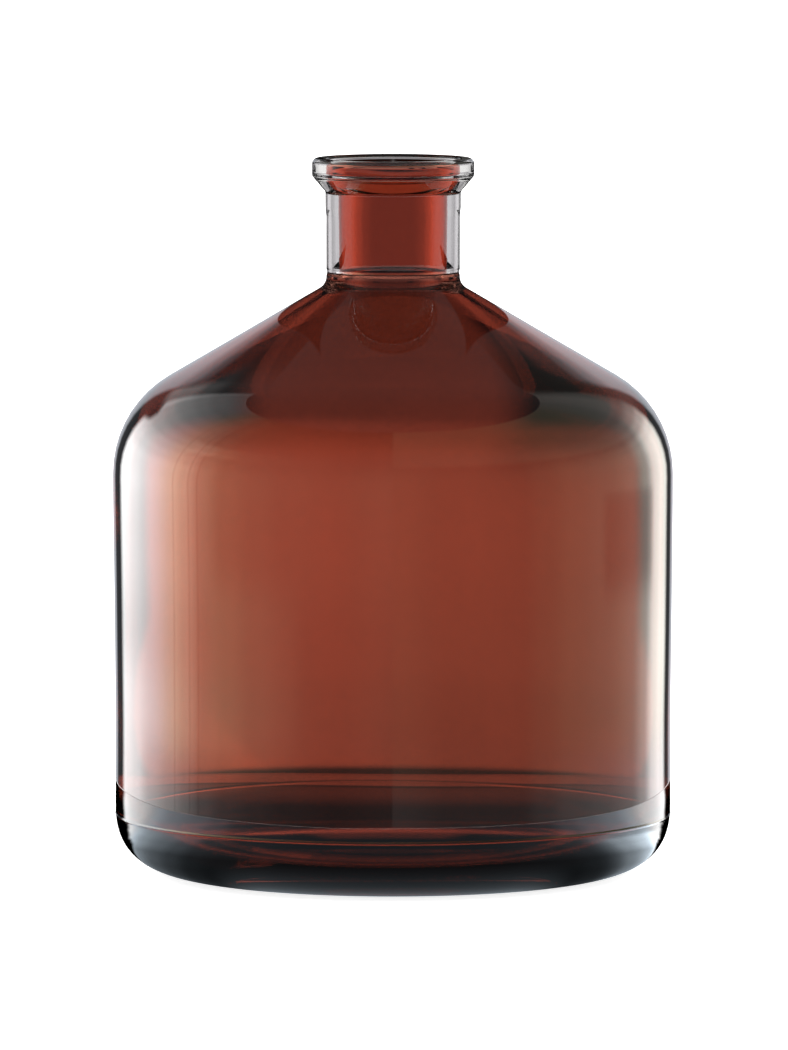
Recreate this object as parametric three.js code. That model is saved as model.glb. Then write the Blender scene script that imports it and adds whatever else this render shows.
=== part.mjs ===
// Two-litre amber reagent bottle with a wide body, a conical shoulder and a short socket neck.
// Millimetres, +Z up. The origin is the centre of the foot ring, on the plane the bottle stands on.
//
// Both solids are turned about the Z axis. bottle_glass is the clear moulding. amber_lining is the
// thin coloured film that covers the whole inside of it, so it follows the same inside profile.
import * as THREE from "three";

// Base and heel
const PUSH_UP_RISE = 5.0; // how far the hollow underside rises at its centre
const FOOT_INNER_R = 44.0; // flat ring that the bottle stands on
const FOOT_OUTER_R = 50.5;
const HEEL_TOP_Z = 19.3; // where the heel's curve ends
const HEEL_FULLNESS = 2.58; // 2 would be a plain quarter ellipse, more is squarer
const SEAM_Z = 16.2; // the mould's parting line, a fine raised ring near the top of the heel
const SEAM_BEAD = 0.2;
const SEAM_HEIGHT = 0.9;

// Body and shoulder
const BODY_LOW_R = 74.34; // just above the heel
const BODY_HIGH_R = 74.88; // under the shoulder
const SHOULDER_BEND_R = 30.0;
const CONE_ANGLE = THREE.MathUtils.degToRad(30.3); // cone of the shoulder, above the horizontal
const WALL = 2.6;

// Neck and rim
const NECK_R = 17.85;
const NECK_ROOT_Z = 160.2; // top of the curve between the cone and the neck
const NECK_ROOT_BEND_R = 3.7;
const COLLAR_R = 18.1; // the neck is a little thicker under the rim
const COLLAR_Z = 178.5;
const COLLAR_BLEND = 2.0;
const RIM_FLARE_Z = 182.8; // underside of the rim, a cone
const RIM_BAND_Z = 187.0; // lower edge of the rim's upright band
const RIM_R = 21.65;
const RIM_TOP_Z = 191.8;
const RIM_CORNER_R = 1.5;
const MOUTH_EDGE_R = 1.0;

// Inside of the neck
const MOUTH_R = 17.95;
const MOUTH_FLOOR_Z = 187.6; // the funnel down to the socket starts here
const SOCKET_TOP_R = 14.6;
const SOCKET_TOP_Z = 182.6;
const SOCKET_FOOT_R = 14.35;
const SOCKET_FOOT_Z = 161.5;
const THROAT_R = 13.2; // rounded ledge that ends the socket
const THROAT_BEND_R = 3.0;

// Inside of the base
const FLOOR_RISE_Z = 9.8; // middle of the floor, over the push-up
const FLOOR_Z = 5.2; // the floor's ring, over the foot
const INNER_HEEL_TOP_Z = 22.0;

const LINING = 0.2; // thickness of the amber film
const LINING_GAP = 0.02; // keeps the film's face just clear of the glass
const AROUND = 48; // facets around the axis

const vec = (r, z) => new THREE.Vector2(r, z);
const HALF_TURN = Math.PI;
const QUARTER_TURN = Math.PI / 2;

// Points along a round arc, both ends included. Angles run from +r towards +z.
function arc(centreR, centreZ, radius, from, to, steps) {
  const points = [];
  for (let i = 0; i <= steps; i += 1) {
    const angle = from + ((to - from) * i) / steps;
    points.push(vec(centreR + radius * Math.cos(angle), centreZ + radius * Math.sin(angle)));
  }
  return points;
}

// A shallow dome over the axis, from its middle down to the radius where it ends.
function dome(middleZ, edgeR, edgeZ, steps) {
  const rise = middleZ - edgeZ;
  const radius = (edgeR ** 2 + rise ** 2) / (2 * rise);
  const points = [];
  for (let i = 0; i < steps; i += 1) {
    const r = (edgeR * i) / steps;
    points.push(vec(r, middleZ - radius + Math.sqrt(radius ** 2 - r ** 2)));
  }
  return points;
}

// The heel's curve: a quarter of a superellipse, level at its foot and upright at its top.
function heel(footR, footZ, topR, topZ, steps) {
  const points = [];
  for (let i = 0; i <= steps; i += 1) {
    const angle = (QUARTER_TURN * i) / steps;
    const across = Math.sin(angle) ** (2 / HEEL_FULLNESS);
    const down = Math.cos(angle) ** (2 / HEEL_FULLNESS);
    points.push(vec(footR + (topR - footR) * across, topZ - (topZ - footZ) * down));
  }
  return points;
}

// Radius of the heel's outer face at a height.
function heelRadius(z) {
  const down = (HEEL_TOP_Z - z) / HEEL_TOP_Z;
  const across = (1 - down ** HEEL_FULLNESS) ** (1 / HEEL_FULLNESS);
  return FOOT_OUTER_R + (BODY_LOW_R - FOOT_OUTER_R) * across;
}

// The cone leaves the neck's root tangent to its curve, and the shoulder's bend leaves the cone
// tangent to it, so these heights follow from the driving dimensions.
const rootCentreR = NECK_R + NECK_ROOT_BEND_R;
const coneTopR = rootCentreR - NECK_ROOT_BEND_R * Math.sin(CONE_ANGLE);
const coneTopZ = NECK_ROOT_Z - NECK_ROOT_BEND_R * Math.cos(CONE_ANGLE);
const bendCentreR = BODY_HIGH_R - SHOULDER_BEND_R;
const coneFootR = bendCentreR + SHOULDER_BEND_R * Math.sin(CONE_ANGLE);
const coneFootZ = coneTopZ - (coneFootR - coneTopR) * Math.tan(CONE_ANGLE);
const bendCentreZ = coneFootZ - SHOULDER_BEND_R * Math.cos(CONE_ANGLE);
const coneNormal = QUARTER_TURN - CONE_ANGLE;

// Height of the inside of the cone at a radius.
function innerConeZ(r) {
  const startR = coneTopR - WALL * Math.sin(CONE_ANGLE);
  const startZ = coneTopZ - WALL * Math.cos(CONE_ANGLE);
  return startZ + (startR - r) * Math.tan(CONE_ANGLE);
}

// Outside, from the middle of the underside up to the flat top of the rim.
function outsideProfile() {
  const curve = heel(FOOT_OUTER_R, 0, BODY_LOW_R, HEEL_TOP_Z, 8);
  const seamFoot = SEAM_Z - SEAM_HEIGHT / 2;
  const seamTop = SEAM_Z + SEAM_HEIGHT / 2;
  return [
    ...dome(PUSH_UP_RISE, FOOT_INNER_R, 0, 4),
    vec(FOOT_INNER_R, 0),
    ...curve.filter((point) => point.y < seamFoot),
    vec(heelRadius(seamFoot), seamFoot),
    vec(heelRadius(SEAM_Z) + SEAM_BEAD, SEAM_Z),
    vec(heelRadius(seamTop), seamTop),
    ...curve.filter((point) => point.y > seamTop),
    ...arc(bendCentreR, bendCentreZ, SHOULDER_BEND_R, 0, coneNormal, 6),
    ...arc(rootCentreR, NECK_ROOT_Z, NECK_ROOT_BEND_R, HALF_TURN + coneNormal, HALF_TURN, 3),
    vec(NECK_R, COLLAR_Z - COLLAR_BLEND),
    vec(COLLAR_R, COLLAR_Z),
    vec(COLLAR_R, RIM_FLARE_Z),
    vec(RIM_R, RIM_BAND_Z),
    ...arc(RIM_R - RIM_CORNER_R, RIM_TOP_Z - RIM_CORNER_R, RIM_CORNER_R, 0, QUARTER_TURN, 3),
    vec(MOUTH_R + MOUTH_EDGE_R, RIM_TOP_Z),
    vec(MOUTH_R + MOUTH_EDGE_R * (1 - Math.SQRT1_2), RIM_TOP_Z - MOUTH_EDGE_R * (1 - Math.SQRT1_2)),
  ];
}

// Inside, from just under the mouth's rounded edge down to the middle of the floor.
function insideProfile() {
  const throatCentreR = THROAT_R + THROAT_BEND_R;
  const throatCentreZ = innerConeZ(throatCentreR) + THROAT_BEND_R / Math.cos(CONE_ANGLE);
  const ledge = SOCKET_FOOT_R - THROAT_R;
  return [
    vec(MOUTH_R, RIM_TOP_Z - MOUTH_EDGE_R),
    vec(MOUTH_R, MOUTH_FLOOR_Z),
    vec(SOCKET_TOP_R, SOCKET_TOP_Z),
    ...arc(SOCKET_FOOT_R, SOCKET_FOOT_Z - ledge, ledge, QUARTER_TURN, HALF_TURN, 2),
    ...arc(throatCentreR, throatCentreZ, THROAT_BEND_R, HALF_TURN, HALF_TURN + coneNormal, 3),
    ...arc(bendCentreR, bendCentreZ, SHOULDER_BEND_R - WALL, coneNormal, 0, 6),
    ...heel(FOOT_OUTER_R, FLOOR_Z, BODY_LOW_R - WALL, INNER_HEEL_TOP_Z, 7).reverse(),
    vec(FOOT_INNER_R, FLOOR_Z),
    ...dome(FLOOR_RISE_Z, FOOT_INNER_R, FLOOR_Z, 4).reverse(),
  ];
}

// The same line moved into the hollow by a thickness, along the bisector at each corner. The line
// runs down the wall to the axis, so the hollow is on its right.
function movedInwards(points, thickness) {
  const headings = points.slice(1).map((point, i) => point.clone().sub(points[i]).normalize());
  return points.map((point, i) => {
    if (i === headings.length) return vec(0, point.y + thickness);
    const leaving = headings[i];
    const arriving = i > 0 ? headings[i - 1] : leaving;
    const along = arriving.clone().add(leaving).normalize();
    const reach = thickness / along.dot(leaving);
    return vec(point.x + along.y * reach, point.y - along.x * reach);
  });
}

// A solid of revolution about Z.
function turned(name, profile, material) {
  const geometry = new THREE.LatheGeometry(profile, AROUND);
  geometry.rotateX(QUARTER_TURN);
  const mesh = new THREE.Mesh(geometry, material);
  mesh.name = name;
  return mesh;
}

function bottleGlass() {
  const clear = new THREE.MeshStandardMaterial({
    color: 0xd9dcd8,
    roughness: 0.05,
    metalness: 0,
    transparent: true,
    opacity: 0.35,
  });
  return turned("bottle_glass", [...outsideProfile(), ...insideProfile()], clear);
}

function amberLining() {
  const amber = new THREE.MeshStandardMaterial({
    color: 0x7a2c1c,
    roughness: 0.12,
    metalness: 0,
    transparent: true,
    opacity: 0.7,
  });
  const wallSide = movedInwards(insideProfile(), LINING_GAP);
  const hollowSide = movedInwards(wallSide, LINING);
  return turned("amber_lining", [...wallSide.reverse(), ...hollowSide], amber);
}

const group = new THREE.Group();
group.add(bottleGlass(), amberLining());

export default group;
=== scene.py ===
import math

import bpy
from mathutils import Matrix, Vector, noise


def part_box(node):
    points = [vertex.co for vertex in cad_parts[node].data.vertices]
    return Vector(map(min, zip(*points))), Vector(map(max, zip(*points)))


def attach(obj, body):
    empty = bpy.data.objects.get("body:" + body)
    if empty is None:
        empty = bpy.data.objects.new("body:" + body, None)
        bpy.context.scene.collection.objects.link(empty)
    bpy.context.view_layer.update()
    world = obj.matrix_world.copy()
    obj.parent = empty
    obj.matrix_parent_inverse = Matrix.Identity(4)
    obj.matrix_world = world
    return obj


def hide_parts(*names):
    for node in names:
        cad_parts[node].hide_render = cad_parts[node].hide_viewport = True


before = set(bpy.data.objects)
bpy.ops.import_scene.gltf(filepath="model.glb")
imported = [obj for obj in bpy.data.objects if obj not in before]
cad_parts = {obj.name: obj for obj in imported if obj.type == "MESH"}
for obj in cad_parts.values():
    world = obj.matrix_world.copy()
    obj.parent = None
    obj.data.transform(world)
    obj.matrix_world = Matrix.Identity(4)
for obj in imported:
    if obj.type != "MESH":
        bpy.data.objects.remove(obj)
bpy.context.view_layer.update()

# ---------------------------------------------------------------------------
# Sizes, in millimetres in the bottle's own frame. The overall ones come from the frame.
# ---------------------------------------------------------------------------
MM = 0.001
GLASS_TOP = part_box("bottle_glass")[1]
BODY_R = GLASS_TOP.x / MM
RIM_TOP_Z = GLASS_TOP.z / MM

# Base and heel
PUSH_UP_RISE = 5.0
FOOT_INNER_R = 44.0
FOOT_OUTER_R = 50.5
HEEL_TOP_Z = 19.3
HEEL_FULLNESS = 2.58
HEEL_STEPS = 30
SEAM_Z = 16.2  # the mould's parting line, near the top of the heel
SEAM_BEAD = 0.22
SEAM_HEIGHT = 0.9

# Body and shoulder: the wall narrows a little to a waist
HEEL_TOP_R = BODY_R - 0.5
WAIST_R = BODY_R - 0.6
WAIST_Z = 42.0
BODY_TOP_Z = 100.0
SHOULDER_BEND_R = 30.0
CONE_ANGLE = math.radians(30.3)
CONE_AT_NECK_Z = 158.07  # where the cone's line would meet the neck
WALL = 2.6

# Neck and rim
NECK_R = 17.85
NECK_ROOT_BEND_R = 3.7
NECK_GROOVE_Z = 161.3
NECK_GROOVE = 0.25
COLLAR_R = 18.1
COLLAR_Z = 178.5
RIM_FLARE_Z = 182.8
RIM_BAND_Z = 187.0
RIM_R = 21.65
RIM_CORNER_R = 1.5

# Inside of the neck
MOUTH_R = 17.95
MOUTH_EDGE_R = 1.0
MOUTH_FLOOR_Z = 187.6
SOCKET_TOP_R = 14.6
SOCKET_TOP_Z = 182.6
SOCKET_FOOT_R = 14.35
SOCKET_FOOT_Z = 161.5
THROAT_R = 13.2
THROAT_BEND_R = 3.0

# Inside of the base
FLOOR_RISE_Z = 9.8
FLOOR_Z = 5.2
INNER_HEEL_TOP_Z = 22.0

# The colour film on the inside
FILM_GAP = 0.05
FILM = 0.15

# How fine the meshes are
AROUND = 288
LONGEST_STEP = 3.0
ARC_STEP = math.radians(7)
ON_AXIS = 1e-6  # a point nearer to the axis than this is on it

# How far moulded glass strays from round
OUTER_RIPPLE = 0.10
INNER_RIPPLE = 0.16


# ---------------------------------------------------------------------------
# Profiles: lists of (radius, height)
# ---------------------------------------------------------------------------
def rounded(corners):
    """The line through (r, z, bend radius) corners, with an arc at each corner that has a bend."""
    line = []
    for i, (r, z, bend) in enumerate(corners):
        here = Vector((r, z))
        if bend == 0 or i in (0, len(corners) - 1):
            line.append(here)
            continue
        arriving = (here - Vector(corners[i - 1][:2])).normalized()
        leaving = (Vector(corners[i + 1][:2]) - here).normalized()
        turn = arriving.angle(leaving)
        reach = bend * math.tan(turn / 2)
        start = here - arriving * reach
        steps = max(2, math.ceil(turn / ARC_STEP))
        side = 1 if arriving.x * leaving.y - arriving.y * leaving.x > 0 else -1
        centre = start + Vector((-arriving.y, arriving.x)) * side * bend
        for k in range(steps + 1):
            a = side * turn * k / steps
            spoke = start - centre
            line.append(centre + Vector((
                spoke.x * math.cos(a) - spoke.y * math.sin(a),
                spoke.x * math.sin(a) + spoke.y * math.cos(a),
            )))
    return line


def heel(foot_r, foot_z, top_r, top_z):
    """Corners along a quarter of a superellipse, level at the foot and upright at the top."""
    corners = []
    for k in range(HEEL_STEPS + 1):
        a = math.pi / 2 * k / HEEL_STEPS
        across = math.sin(a) ** (2 / HEEL_FULLNESS)
        down = max(math.cos(a), 0) ** (2 / HEEL_FULLNESS)
        corners.append((foot_r + (top_r - foot_r) * across, top_z - (top_z - foot_z) * down, 0))
    return corners


def seam():
    """Corners of the fine bead that the mould's parting line leaves on the heel."""
    def heel_r(z):
        down = (HEEL_TOP_Z - z) / HEEL_TOP_Z
        across = (1 - down ** HEEL_FULLNESS) ** (1 / HEEL_FULLNESS)
        return FOOT_OUTER_R + (HEEL_TOP_R - FOOT_OUTER_R) * across

    foot, top = SEAM_Z - SEAM_HEIGHT / 2, SEAM_Z + SEAM_HEIGHT / 2
    return [
        (heel_r(foot), foot, 0.5),
        (heel_r(SEAM_Z) + SEAM_BEAD, SEAM_Z, 0.5),
        (heel_r(top), top, 0.5),
    ]


def dome(middle_z, edge_r, edge_z, steps=14):
    """Corners of a shallow dome, from the axis out to just before its edge."""
    rise = middle_z - edge_z
    radius = (edge_r ** 2 + rise ** 2) / (2 * rise)
    return [
        (r, middle_z - radius + math.sqrt(radius ** 2 - r ** 2), 0)
        for r in (edge_r * k / steps for k in range(steps))
    ]


def cone_z(r, depth=0.0):
    """Height of the shoulder's cone at a radius, at a depth below its outer face."""
    return CONE_AT_NECK_Z - (r - NECK_R) * math.tan(CONE_ANGLE) - depth / math.cos(CONE_ANGLE)


def outside():
    """From the middle of the underside up to the rim's flat top."""
    curve = heel(FOOT_OUTER_R, 0, HEEL_TOP_R, HEEL_TOP_Z)
    return rounded([
        *dome(PUSH_UP_RISE, FOOT_INNER_R, 0),
        (FOOT_INNER_R, 0, 3.0),
        *(corner for corner in curve if corner[1] < SEAM_Z - SEAM_HEIGHT),
        *seam(),
        *(corner for corner in curve if corner[1] > SEAM_Z + SEAM_HEIGHT),
        (WAIST_R, WAIST_Z, 900),
        (BODY_R, BODY_TOP_Z, 600),
        (BODY_R, cone_z(BODY_R), SHOULDER_BEND_R),
        (NECK_R, cone_z(NECK_R), NECK_ROOT_BEND_R),
        (NECK_R, NECK_GROOVE_Z - 0.8, 0.8),
        (NECK_R - NECK_GROOVE, NECK_GROOVE_Z, 0.8),
        (NECK_R, NECK_GROOVE_Z + 0.8, 0.8),
        (NECK_R, COLLAR_Z - 2.0, 3.0),
        (COLLAR_R, COLLAR_Z, 3.0),
        (COLLAR_R, RIM_FLARE_Z, 1.0),
        (RIM_R, RIM_BAND_Z, 1.0),
        (RIM_R, RIM_TOP_Z, RIM_CORNER_R),
        (MOUTH_R, RIM_TOP_Z, MOUTH_EDGE_R),
        (MOUTH_R, RIM_TOP_Z - 2 * MOUTH_EDGE_R, 0),
    ])


def inside():
    """From under the mouth's edge down to the middle of the floor."""
    lip_r = SOCKET_FOOT_R - THROAT_R
    inner_r = BODY_R - WALL
    return rounded([
        (MOUTH_R, RIM_TOP_Z - 2 * MOUTH_EDGE_R, 0),
        (MOUTH_R, MOUTH_FLOOR_Z, 1.5),
        (SOCKET_TOP_R, SOCKET_TOP_Z, 1.5),
        (SOCKET_FOOT_R, SOCKET_FOOT_Z, 0.3),
        (THROAT_R, SOCKET_FOOT_Z - 0.2, lip_r),
        (THROAT_R, cone_z(THROAT_R, WALL), THROAT_BEND_R),
        (inner_r, cone_z(inner_r, WALL), SHOULDER_BEND_R - WALL),
        (inner_r, BODY_TOP_Z, 600),
        (WAIST_R - WALL, WAIST_Z, 900),
        *reversed(heel(FOOT_OUTER_R, FLOOR_Z, HEEL_TOP_R - WALL, INNER_HEEL_TOP_Z)),
        (FOOT_INNER_R, FLOOR_Z, 20.0),
        *reversed(dome(FLOOR_RISE_Z, FOOT_INNER_R, FLOOR_Z)),
    ])


def even(line):
    """The line with no stretch longer than LONGEST_STEP, and no two points on one spot."""
    points = [line[0]]
    for point in line[1:]:
        span = (point - points[-1]).length
        if span < 0.01:
            continue
        cuts = math.ceil(span / LONGEST_STEP)
        last = points[-1]
        points.extend(last.lerp(point, k / cuts) for k in range(1, cuts + 1))
    return points


def moved_inwards(line, depth):
    """The inside line moved into the hollow by a depth, which is on its right as it runs down."""
    moved = []
    for i, point in enumerate(line):
        before = line[max(i - 1, 0)]
        after = line[min(i + 1, len(line) - 1)]
        along = (after - before).normalized()
        moved.append(Vector((max(point.x + along.y * depth, 0), point.y - along.x * depth)))
    moved[-1].x = 0
    return moved


# ---------------------------------------------------------------------------
# Turned meshes
# ---------------------------------------------------------------------------
def ripple(r, z, angle, outer):
    """How far the glass strays from round at a point, in millimetres."""
    if r < 1:
        return 0
    spot = Vector((math.cos(angle), math.sin(angle), z / 60)) * 1.3
    if not outer:
        spot += Vector((7.3, 2.1, 4.4))
    slow = noise.noise(spot)
    depth = OUTER_RIPPLE if outer else INNER_RIPPLE
    return depth * slow * min(1, (r - 1) / 60)


def turned(name, line, outer_count):
    """A closed mesh of revolution. The line starts and ends on the axis, faces out."""
    verts, rows = [], []
    for i, point in enumerate(line):
        if point.x < ON_AXIS:
            rows.append([len(verts)])
            verts.append((0, 0, point.y * MM))
            continue
        rows.append(range(len(verts), len(verts) + AROUND))
        for k in range(AROUND):
            angle = 2 * math.pi * k / AROUND
            r = point.x + ripple(point.x, point.y, angle, i < outer_count)
            verts.append((r * math.cos(angle) * MM, r * math.sin(angle) * MM, point.y * MM))
    faces = []
    for low, high in zip(rows, rows[1:]):
        for k in range(AROUND):
            n = (k + 1) % AROUND
            if len(low) == 1:
                faces.append((low[0], high[n], high[k]))
            elif len(high) == 1:
                faces.append((low[k], low[n], high[0]))
            else:
                faces.append((low[k], low[n], high[n], high[k]))
    mesh = bpy.data.meshes.new(name)
    mesh.from_pydata(verts, [], faces)
    mesh.shade_smooth()
    piece = bpy.data.objects.new(name, mesh)
    bpy.context.collection.objects.link(piece)
    return piece, rows


# ---------------------------------------------------------------------------
# Materials
# ---------------------------------------------------------------------------
def new_material(name):
    material = bpy.data.materials.new(name)
    material.use_nodes = True
    return material, material.node_tree.nodes, material.node_tree.links


def glass_shader(nodes):
    shader = nodes["Principled BSDF"]
    shader.inputs["Transmission Weight"].default_value = 1.0
    shader.inputs["IOR"].default_value = 1.5
    shader.inputs["Roughness"].default_value = 0.0
    return shader


def height_mix(nodes, links, low_colour, high_colour, low_z, high_z):
    """A colour that goes from one to the other between two heights of the bottle."""
    place = nodes.new("ShaderNodeTexCoord")
    split = nodes.new("ShaderNodeSeparateXYZ")
    links.new(place.outputs["Object"], split.inputs[0])
    ramp = nodes.new("ShaderNodeMapRange")
    ramp.interpolation_type = "SMOOTHSTEP"
    ramp.inputs["From Min"].default_value = low_z * MM
    ramp.inputs["From Max"].default_value = high_z * MM
    links.new(split.outputs["Z"], ramp.inputs["Value"])
    mix = nodes.new("ShaderNodeMix")
    mix.data_type = "RGBA"
    mix.inputs["A"].default_value = (*low_colour, 1)
    mix.inputs["B"].default_value = (*high_colour, 1)
    links.new(ramp.outputs[0], mix.inputs["Factor"])
    return mix.outputs["Result"]


def streaked(nodes, links, colour, depth):
    """The colour with faint upright streaks, as drawn glass has, darker by up to a share."""
    place = nodes.new("ShaderNodeTexCoord")
    stretch = nodes.new("ShaderNodeMapping")
    stretch.inputs["Scale"].default_value = (45, 45, 7)
    links.new(place.outputs["Object"], stretch.inputs["Vector"])
    clouds = nodes.new("ShaderNodeTexNoise")
    clouds.inputs["Scale"].default_value = 1.0
    clouds.inputs["Detail"].default_value = 2.0
    links.new(stretch.outputs[0], clouds.inputs["Vector"])
    ramp = nodes.new("ShaderNodeMapRange")
    ramp.inputs["From Min"].default_value = 0.35
    ramp.inputs["From Max"].default_value = 0.65
    ramp.inputs["To Min"].default_value = 1 - depth
    ramp.inputs["To Max"].default_value = 1.0
    links.new(clouds.outputs["Fac"], ramp.inputs["Value"])
    mix = nodes.new("ShaderNodeMix")
    mix.data_type = "RGBA"
    mix.blend_type = "MULTIPLY"
    mix.inputs["Factor"].default_value = 1.0
    links.new(colour, mix.inputs["A"])
    links.new(ramp.outputs[0], mix.inputs["B"])
    return mix.outputs["Result"]


# Over the body the outer skin of the glass carries the colour, and in the neck the film does.
BODY_TINT = (0.25, 0.0385, 0.0193)
CLEAR_TINT = (0.97, 0.96, 0.95)
INNER_NECK_TINT = (0.985, 0.98, 0.975)
NECK_TINT = (0.775, 0.275, 0.185)
TINT_ENDS_Z = (159.5, 162.8)  # the body's tint gives way to the neck's between these heights


def outer_glass():
    material, nodes, links = new_material("outer_glass")
    shader = glass_shader(nodes)
    colour = height_mix(nodes, links, BODY_TINT, CLEAR_TINT, *TINT_ENDS_Z)
    links.new(streaked(nodes, links, colour, 0.1), shader.inputs["Base Color"])
    return material


def inner_glass():
    material, nodes, links = new_material("inner_glass")
    shader = glass_shader(nodes)
    colour = height_mix(nodes, links, CLEAR_TINT, INNER_NECK_TINT, *TINT_ENDS_Z)
    links.new(streaked(nodes, links, colour, 0.03), shader.inputs["Base Color"])
    return material


def amber_film():
    material, nodes, links = new_material("amber_film")
    shader = glass_shader(nodes)
    shader.inputs["IOR"].default_value = 1.0
    colour = height_mix(nodes, links, CLEAR_TINT, NECK_TINT, *TINT_ENDS_Z)
    links.new(colour, shader.inputs["Base Color"])
    return material


# ---------------------------------------------------------------------------
# The bottle
# ---------------------------------------------------------------------------
outer_line = even(outside())
inner_line = even(inside())[1:]
glass, rows = turned("bottle_glass_body", outer_line + inner_line, len(outer_line))
glass.data.materials.append(outer_glass())
glass.data.materials.append(inner_glass())
inner_start = rows[len(outer_line)][0]
for face in glass.data.polygons:
    face.material_index = int(min(face.vertices) >= inner_start - AROUND)
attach(glass, "root")
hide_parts("bottle_glass")

full_inner = even(inside())
film_out = moved_inwards(full_inner, FILM_GAP)
film_in = moved_inwards(full_inner, FILM_GAP + FILM)
film, _ = turned("amber_lining_film", list(reversed(film_out)) + film_in, 0)
film.data.materials.append(amber_film())
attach(film, "root")
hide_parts("amber_lining")


# ---------------------------------------------------------------------------
# Studio: cards round the bottle, in metres. The cards are painted light and shade: they light
# nothing, and show only through the glass or as painted reflections on it. Their levels were set for
# the view from the front, by comparing renders with the photograph, so the other views are darker
# and less even.
# ---------------------------------------------------------------------------
GROUND_Z = -0.0002  # cards on the ground, just above the floor
TABLE_Z = -0.0004
TABLE_HALF = 30.0
BEHIND_R = 0.42  # the far cards, seen through the glass
BEHIND_TOP = 0.5
MIRROR_R = 0.25  # the cards that the glass reflects
MIRROR_TOP = 0.45
WORLD_STRENGTH = 1.6


def stage_mesh(name, verts, faces, material):
    mesh = bpy.data.meshes.new(name)
    mesh.from_pydata(verts, [], faces)
    thing = bpy.data.objects.new(name, mesh)
    bpy.context.collection.objects.link(thing)
    mesh.materials.append(material)
    return thing


def floor():
    """A white table, lit from below so that the bottle's own shade hardly shows on it."""
    material, nodes, links = new_material("pale_floor")
    shader = nodes["Principled BSDF"]
    shader.inputs["Base Color"].default_value = (0.93, 0.93, 0.93, 1)
    shader.inputs["Roughness"].default_value = 0.9
    shader.inputs["Specular IOR Level"].default_value = 0.0
    shader.inputs["Emission Color"].default_value = (1, 1, 1, 1)
    shader.inputs["Emission Strength"].default_value = 0.85
    s, z = TABLE_HALF, TABLE_Z
    stage_mesh("floor", [(-s, -s, z), (s, -s, z), (s, s, z), (-s, s, z)], [(0, 1, 2, 3)], material)


def window(value, low, high, soft):
    """1 between low and high, fading to 0 over a soft edge."""
    rise = min(max((value - low) / soft + 0.5, 0), 1)
    fall = min(max((high - value) / soft + 0.5, 0), 1)
    smooth = [t * t * (3 - 2 * t) for t in (rise, fall)]
    return smooth[0] * smooth[1]


def along(stops, value):
    """The value of a gradient at a place. A stop is (place, value), and the ends carry on."""
    for (a, low), (b, high) in zip(stops, stops[1:]):
        if value < b:
            share = max(value - a, 0) / (b - a)
            return low + (high - low) * share * share * (3 - 2 * share)
    return stops[-1][1]


def grey(level, warmth=0.0):
    """A light of one level. Warmth takes blue out of it, and less green."""
    return Vector((level, level * (1 - 0.25 * warmth), level * (1 - warmth)))


# Painted light and shade that the bottle shows through itself. Angles are from straight behind, in
# degrees, left is negative, and heights are in metres.
def backdrop_glow(angle, z):
    """Painted light and shade: a lit sheet behind the body with black flags of painted shade beside it,
    a dim sheet of painted shade behind the shoulder, and a pale sheet all round the rest."""
    side = abs(angle)
    level = along((
        (-15, 1.6), (-10.5, 1.8), (-8.5, 1.35), (-4, 1.26), (2, 1.05), (10, 0.94), (15, 1.06)), angle)
    level *= along(((0.0, 0.86), (0.02, 0.97), (0.055, 1.1), (0.08, 1.04)), z)
    level *= 1 - 0.3 * window(angle, 5, 60, 3) * window(z, 0.075, 9, 0.03)
    edge = along(((0.0, 21), (0.03, 15.5)), z)
    body = level * window(side, -1, edge, 2.6)
    shoulder = 0.5 * window(angle, -7.3, 6.0, 2.6)
    rise = along(((0.081, 0.0), (0.097, 0.45), (0.114, 1.0)), z)
    behind = body * (1 - rise) + shoulder * rise
    outer = window(side, 38, 500, 3)
    level = (behind * (1 - outer) + 0.8 * outer) * window(z, -1, 0.2, 0.06)
    return grey(level)


def sweep_glow(angle, away):
    """The ground carries on the backdrop's foot. Straight behind, it is dim close to the bottle: painted
    shade that the glass shows.
    """
    beside = window(abs(angle), 34, 500, 8)
    near = along(((0.22, 0.05), (0.26, 1.0)), away)
    return backdrop_glow(angle, 0) * (near * (1 - beside) + 0.7 * beside)


def neck_sheet_glow(angle, z):
    """A sheet behind the neck, seen only through the glass: painted shade behind the middle and painted
    light at its sides.
    """
    level = along((
        (5, 0.3), (8, 0.41), (10, 0.62), (13, 0.95), (20, 0.96), (26, 0.8), (33, 0.45), (42, 0.5),
        (50, 0.65), (90, 0.6), (105, 0.02)), abs(angle))
    return Vector((level, level * 0.98, level * 1.02))


def rim_sheet_glow(angle, z):
    """A sheet behind the rim: dim, with a black line of painted shade in the middle, a purple painted
    sheen and painted black shade under it, and light at its sides.
    """
    side = abs(angle)
    light = along((
        (12, 0.42), (18, 0.5), (22, 0.85), (27, 1.15), (40, 0.9), (57, 1.0), (85, 1.0), (105, 0.25)), side)
    painted_shade_stripe = window(z, 0.1866, 0.1876, 0.0004) * window(side, -1, 22, 4)
    painted_violet_sheen = window(z, -1, 0.1855, 0.0004) * window(side, -1, 20, 4)
    # Painted black shade below the purple sheen, behind the middle of the rim.
    foot = window(z, -1, 0.1848, 0.0004) * window(side, -1, 34, 4)
    glow = grey(light * (1 - painted_shade_stripe) * (1 - painted_violet_sheen)) + Vector((0.3, 0.28, 0.36)) * painted_violet_sheen
    return glow * (1 - foot)
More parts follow.
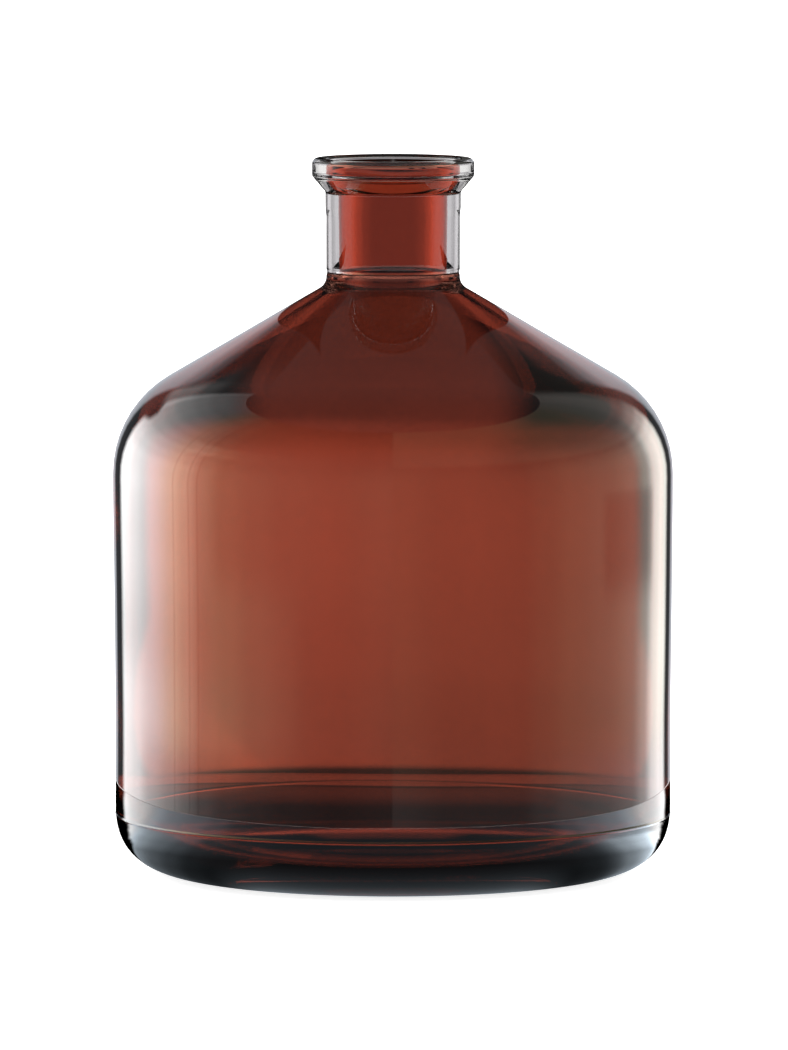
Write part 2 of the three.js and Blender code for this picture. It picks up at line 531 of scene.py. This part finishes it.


# Painted reflections: light that the outside of the glass reflects, from cards that light nothing.
def left_painted_softbox(side, z):
    """A tall panel of painted light, seen only as a reflection, that fades towards the camera and upwards,
    with thin dark bars of painted shade in it, and a pale patch of painted sheen beside it high up.
    """
    shifted = side - 6 * window(z, 0.19, 0.225, 0.02)
    level = along((
        (43, 0.01), (49.5, 4.2), (58, 5.0), (66, 5.6), (80, 5.5), (90, 5.1), (97, 3.9), (106, 2.1),
        (117, 1.1), (130, 0.7), (142, 0.45), (160, 0.3), (178, 0.42)), shifted)
    level *= along((
        (0.0, 0.85), (0.028, 0.95), (0.045, 0.84), (0.07, 1.0), (0.10, 1.18), (0.14, 1.15),
        (0.165, 0.93), (0.19, 0.72), (0.21, 0.52), (0.24, 0.36), (0.28, 0.27), (0.32, 0.21),
        (0.36, 0.16), (0.45, 0.1)), z)
    level *= 1 + 0.75 * window(side, 112, 145, 10) * window(z, 0.016, 0.06, 0.02)
    low = along(((62, 0.0), (74, 0.25), (88, 0.4), (102, 0.5)), side)
    level *= 1 - low * window(z, -1, 0.017, 0.014)
    # Thin dark bars: painted shade in the reflection.
    for bar in (91.0, 99.5, 104.0):
        level *= 1 - 0.28 * window(side, bar - 0.35, bar + 0.35, 0.6)
    # A pale patch of painted sheen, high up beside the panel.
    painted_sheen_patch = window(side, 35, 50, 6) * along((
        (0.215, 0.0), (0.24, 0.6), (0.28, 0.6), (0.31, 0.3), (0.36, 0.12)), z)
    return level + painted_sheen_patch


def right_painted_softbox(side, z):
    """A narrow panel of painted light beside the bottle, seen only as a reflection, and a dim one above
    and in front of it.
    """
    level = along((
        (40.5, 0.01), (47, 3.4), (53, 4.3), (59, 4.3), (68, 2.1), (78, 1.2), (96, 0.95), (112, 0.8),
        (124, 0.5), (134, 0.27), (160, 0.27), (178, 0.42)), side)
    level *= along((
        (0.0, 0.95), (0.04, 1.05), (0.07, 0.95), (0.15, 1.0), (0.17, 0.85), (0.19, 0.42), (0.21, 0.18),
        (0.24, 0.05)), z)
    level *= 1 - 0.42 * window(side, 61, 96, 6) * window(z, 0.06, 0.09, 0.014)
    dim = along(((42, 0.07), (55, 0.3), (75, 0.42), (110, 0.5), (140, 0.36)), side)
    return level + dim * window(z, 0.19, 9, 0.03)


def painted_softbox_glow(angle, z):
    """The two painted softbox panels, and a pale strip of painted sheen behind the shoulder."""
    side = abs(angle)
    if angle < 0:
        level = left_painted_softbox(side, z)
        warmth = along(((75, 0.0), (95, 0.32), (117, 0.45), (140, 0.4)), side)
    else:
        level = right_painted_softbox(side, z)
        warmth = along(((60, 0.1), (90, 0.35), (120, 0.45)), side)
    warmth *= along(((0.004, 0.1), (0.022, 1.0)), z)
    # A pale strip of painted sheen, reflected along the shoulder's edges.
    painted_sheen_strip = along(((8, 0.0), (13, 1.0), (31, 1.0), (36, 0.1)), side) * along((
        (0.19, 0.76), (0.215, 0.8), (0.245, 0.5), (0.27, 0.22), (0.29, 0.05)), z)
    return grey(level, warmth) + Vector((0.93, 0.97, 1.06)) * painted_sheen_strip


def neck_mirror_glow(angle, z):
    """What the neck reflects, a painted reflection: black behind it, and dim in front."""
    level = along(((104, 0.02), (116, 0.15)), abs(angle))
    return Vector((level, level, level * 1.1))


def ground_mirror_glow(angle, away):
    """The floor as the heel reflects it, a painted reflection: pale beside the bottle, and painted shade
    in front and close by.
    """
    side = abs(angle)
    front = along(((0.085, 82), (0.097, 74), (0.118, 68), (0.148, 54), (0.24, 45)), away)
    front -= 5 * window(angle, 0, 500, 1)
    level = along((
        (70, 3.9), (80, 3.0), (92, 2.1), (106, 1.5), (115, 1.0), (124, 0.5), (134, 0.36),
        (160, 0.28)), side) * window(side, front + 3, 500, 6)
    level *= along(((0.066, 0.1), (0.078, 0.3), (0.09, 0.75), (0.11, 1.0)), away)
    level *= 1 + 1.5 * window(angle, 76, 114, 12) * window(away, -1, 0.112, 0.02)
    level += 0.25 * window(side, 140, 500, 20) * window(away, -1, 0.074, 0.012)
    cold = along(((72, 0.0), (86, 1.0)), side)
    return Vector((level * (1 - 0.14 * cold), level, level * (1 + 0.12 * cold)))


def glowing(name, verts, faces, glows, through):
    """A card that glows by its own colour at each point, on its face side, and is clear from
    behind. It shows only through the glass, or only as a reflection. The camera and the floor
    don't see it."""
    material, nodes, links = new_material(name)
    nodes.remove(nodes["Principled BSDF"])
    light = nodes.new("ShaderNodeEmission")
    source = nodes.new("ShaderNodeAttribute")
    source.attribute_name = "glow"
    links.new(source.outputs["Color"], light.inputs["Color"])
    clear = nodes.new("ShaderNodeBsdfTransparent")
    facing = nodes.new("ShaderNodeNewGeometry")
    sides = nodes.new("ShaderNodeMixShader")
    links.new(facing.outputs["Backfacing"], sides.inputs[0])
    links.new(light.outputs[0], sides.inputs[1])
    links.new(clear.outputs[0], sides.inputs[2])
    links.new(sides.outputs[0], nodes["Material Output"].inputs["Surface"])
    material.cycles.emission_sampling = "NONE"
    thing = stage_mesh(name, verts, faces, material)
    layer = thing.data.color_attributes.new("glow", "FLOAT_COLOR", "POINT")
    for item, glow in zip(layer.data, glows):
        item.color = (*glow, 1)
    thing.visible_camera = False
    thing.visible_diffuse = False
    thing.visible_shadow = False
    thing.visible_volume_scatter = False
    thing.visible_transmission = through
    thing.visible_glossy = not through


def round_wall(name, radius, low, high, glow_at, through, up=60):
    """An upright round wall about the bottle's axis."""
    around = 720
    verts, glows = [], []
    for j in range(up + 1):
        z = low + (high - low) * j / up
        for k in range(around):
            degrees = 360 * k / around
            angle = math.radians(degrees)
            verts.append((radius * math.sin(angle), radius * math.cos(angle), z))
            glows.append(glow_at(degrees - 360 if degrees > 180 else degrees, z))
    faces = []
    for j in range(up):
        row, above = j * around, (j + 1) * around
        for k in range(around):
            n = (k + 1) % around
            faces.append((row + k, row + n, above + n, above + k))
    glowing(name, verts, faces, glows, through)


def round_ground(name, radius, z, glow_at, through, up=True):
    """A round level card about the bottle's axis, glowing upwards or downwards."""
    around, rings = 360, 50
    verts, glows = [(0, 0, z)], [glow_at(180, 0)]
    for j in range(1, rings + 1):
        away = radius * j / rings
        for k in range(around):
            degrees = 360 * k / around
            angle = math.radians(degrees)
            verts.append((away * math.sin(angle), away * math.cos(angle), z))
            glows.append(glow_at(degrees - 360 if degrees > 180 else degrees, away))
    faces = [(0, 1 + (k + 1) % around, 1 + k) for k in range(around)]
    for j in range(rings - 1):
        row, beyond = 1 + j * around, 1 + (j + 1) * around
        for k in range(around):
            n = (k + 1) % around
            faces.append((row + k, row + n, beyond + n, beyond + k))
    if not up:
        faces = [tuple(reversed(face)) for face in faces]
    glowing(name, verts, faces, glows, through)


# The tray is painted shade: a black card that only the glass shows, which darkens the base, with painted
# light lines on its curb.
TRAY_FRONT_Y = -0.16
TRAY_BACK_Y = 0.086

# Heights and levels up the curb, painted: black shade, then dull, a dark line of painted shade, and
# brighter painted light
PAINTED_CURB = (
    (0.0, 0.004), (0.004, 0.02), (0.0065, 0.12), (0.0095, 0.24), (0.0116, 0.24), (0.0119, 0.1),
    (0.0124, 0.14), (0.0128, 0.6), (0.0158, 0.62), (0.0160, 0.4), (0.0165, 0.62))

# Places across the curb, and how bright its painted light is there: brightest at its left end
PAINTED_CURB_SHARES = ((-0.12, 1.9), (-0.05, 1.8), (-0.038, 1.05), (0.12, 0.88))


def painted_shade_tray():
    """What the base shows through itself, as painted shade: a black tray with a straight curb behind the
    bottle.
    """
    verts, glows, faces = [], [], []
    rows = [(TRAY_FRONT_Y, 0.0, 0.004)] + [(TRAY_BACK_Y, height, level) for height, level in PAINTED_CURB]
    across = len(PAINTED_CURB_SHARES)
    for y, z, level in rows:
        for x, share in PAINTED_CURB_SHARES:
            verts.append((x, y, z))
            glows.append(grey(level * share))
    for j in range(len(rows) - 1):
        for k in range(across - 1):
            low, high = j * across + k, (j + 1) * across + k
            faces.append((low, low + 1, high + 1, high))
    glowing("painted_shade_tray", verts, faces, glows, True)


def painted_shade_blade():
    """A black flag of painted shade just under the neck, seen only through the glass, along the line of
    sight there. It is edge on for the light that goes straight through the neck, and it stops the
    light that the rim bends down."""
    w, near, far = 0.2, 0.026, 0.17
    near_z, far_z = 0.1551, 0.1455
    verts = [(-w, near, near_z), (w, near, near_z), (w, far, far_z), (-w, far, far_z)]
    glowing("painted_shade_blade", verts, [(0, 1, 2, 3)], [grey(0.004)] * 4, True)


def evenly(level):
    """A glow that is the same all over a card."""
    return lambda angle, place: grey(level)


def studio():
    round_wall("backdrop", BEHIND_R, GROUND_Z, BEHIND_TOP, backdrop_glow, True, 100)
    round_ground("sweep", BEHIND_R, GROUND_Z, sweep_glow, True)
    round_ground("ceiling", BEHIND_R, BEHIND_TOP, evenly(0.06), True, False)
    round_wall("neck_sheet", 0.17, 0.147, 0.205, neck_sheet_glow, True, 12)
    painted_shade_blade()
    round_wall("rim_sheet", 0.060, 0.1835, 0.196, rim_sheet_glow, True)
    painted_shade_tray()
    round_wall("painted_softboxes", MIRROR_R, 0, MIRROR_TOP, painted_softbox_glow, False, 100)
    round_wall("neck_mirror", 0.034, 0.154, 0.192, neck_mirror_glow, False, 4)
    round_ground("ground_mirror", MIRROR_R, GROUND_Z, ground_mirror_glow, False)
    round_ground("ceiling_mirror", MIRROR_R, MIRROR_TOP, evenly(0.13), False, False)
    world = bpy.data.worlds.new("world")
    bpy.context.scene.world = world
    world.use_nodes = True
    world.node_tree.nodes["Background"].inputs["Color"].default_value = (1, 1, 1, 1)
    world.node_tree.nodes["Background"].inputs["Strength"].default_value = WORLD_STRENGTH
    floor()


# The camera looks down by a few degrees, as the photograph does. Metres, and the lens in mm.
CAMERA_DISTANCE = 3.0
CAMERA_ELEVATION = math.radians(5.01)
CAMERA_AIM = Vector((0.00024, 0, 0.09346))
CAMERA_LENS = 384.5
CAMERA_SENSOR = 36


def camera():
    data = bpy.data.cameras.new("camera")
    data.sensor_width = CAMERA_SENSOR
    data.lens = CAMERA_LENS
    data.clip_end = 100
    thing = bpy.data.objects.new("camera", data)
    bpy.context.collection.objects.link(thing)
    back = Vector((0, -math.cos(CAMERA_ELEVATION), math.sin(CAMERA_ELEVATION)))
    thing.location = CAMERA_AIM + back * CAMERA_DISTANCE
    thing.rotation_euler = (-back).to_track_quat("-Z", "Y").to_euler()
    bpy.context.scene.camera = thing


studio()
camera()
scene = bpy.context.scene
scene.view_settings.view_transform = "Standard"
scene.cycles.max_bounces = 24
scene.cycles.transmission_bounces = 24
scene.cycles.glossy_bounces = 12
scene.cycles.caustics_reflective = False
scene.cycles.caustics_refractive = False
